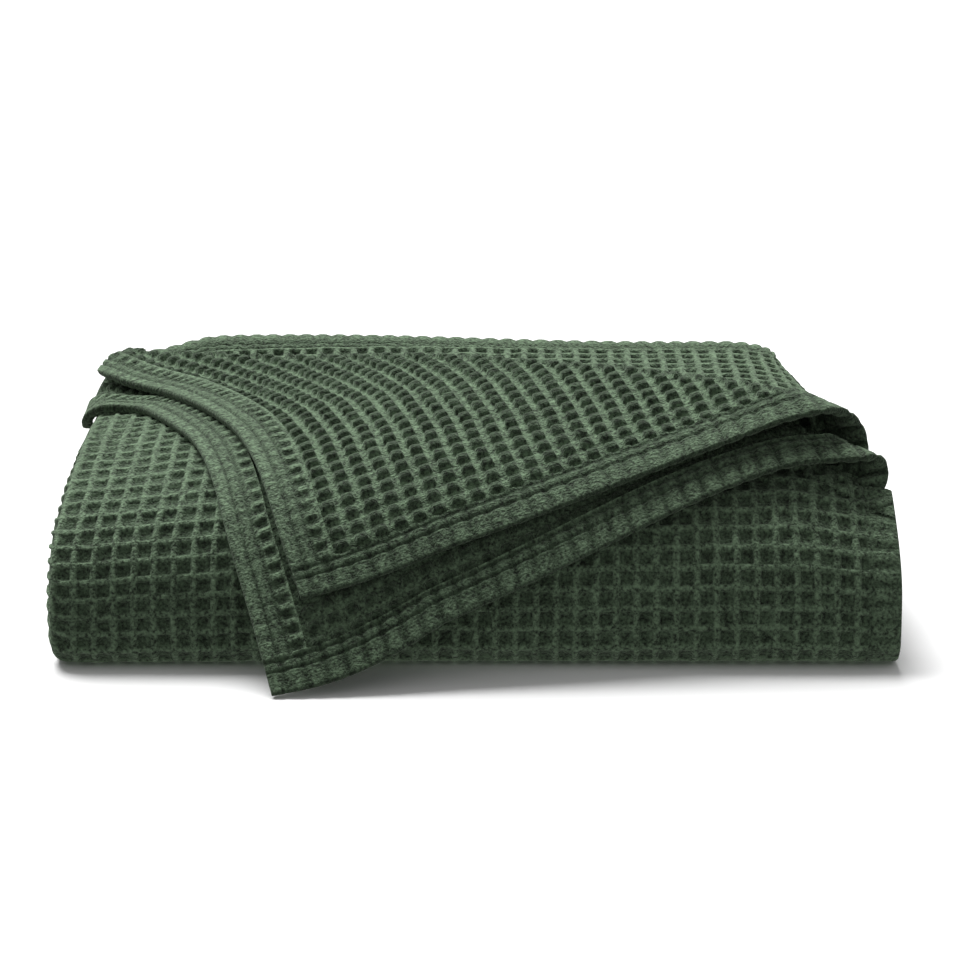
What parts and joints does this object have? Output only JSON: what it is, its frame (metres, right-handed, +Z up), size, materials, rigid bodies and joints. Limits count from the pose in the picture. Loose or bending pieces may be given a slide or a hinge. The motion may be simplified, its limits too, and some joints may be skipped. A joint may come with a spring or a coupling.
{
  "type": "folded basket weave cotton blanket",
  "caption": "Thick cotton blanket with a deep basket weave, folded into a flat pack with a round front fold and the corner of its upper plies turned back over the front.",
  "frame": {"origin": "centre of the bounding box on the surface that the pack lies on", "axes": "+X along the pack's width, to the right of a viewer who faces the round fold; +Y from the round fold to the rear; +Z up"},
  "size_m": [0.5828, 0.4666, 0.175],
  "materials": {
    "cotton": "matte woven cotton, deep green"
  },
  "bodies": {
    "root": {"blanket": "cotton"}
  },
  "joints": []
}
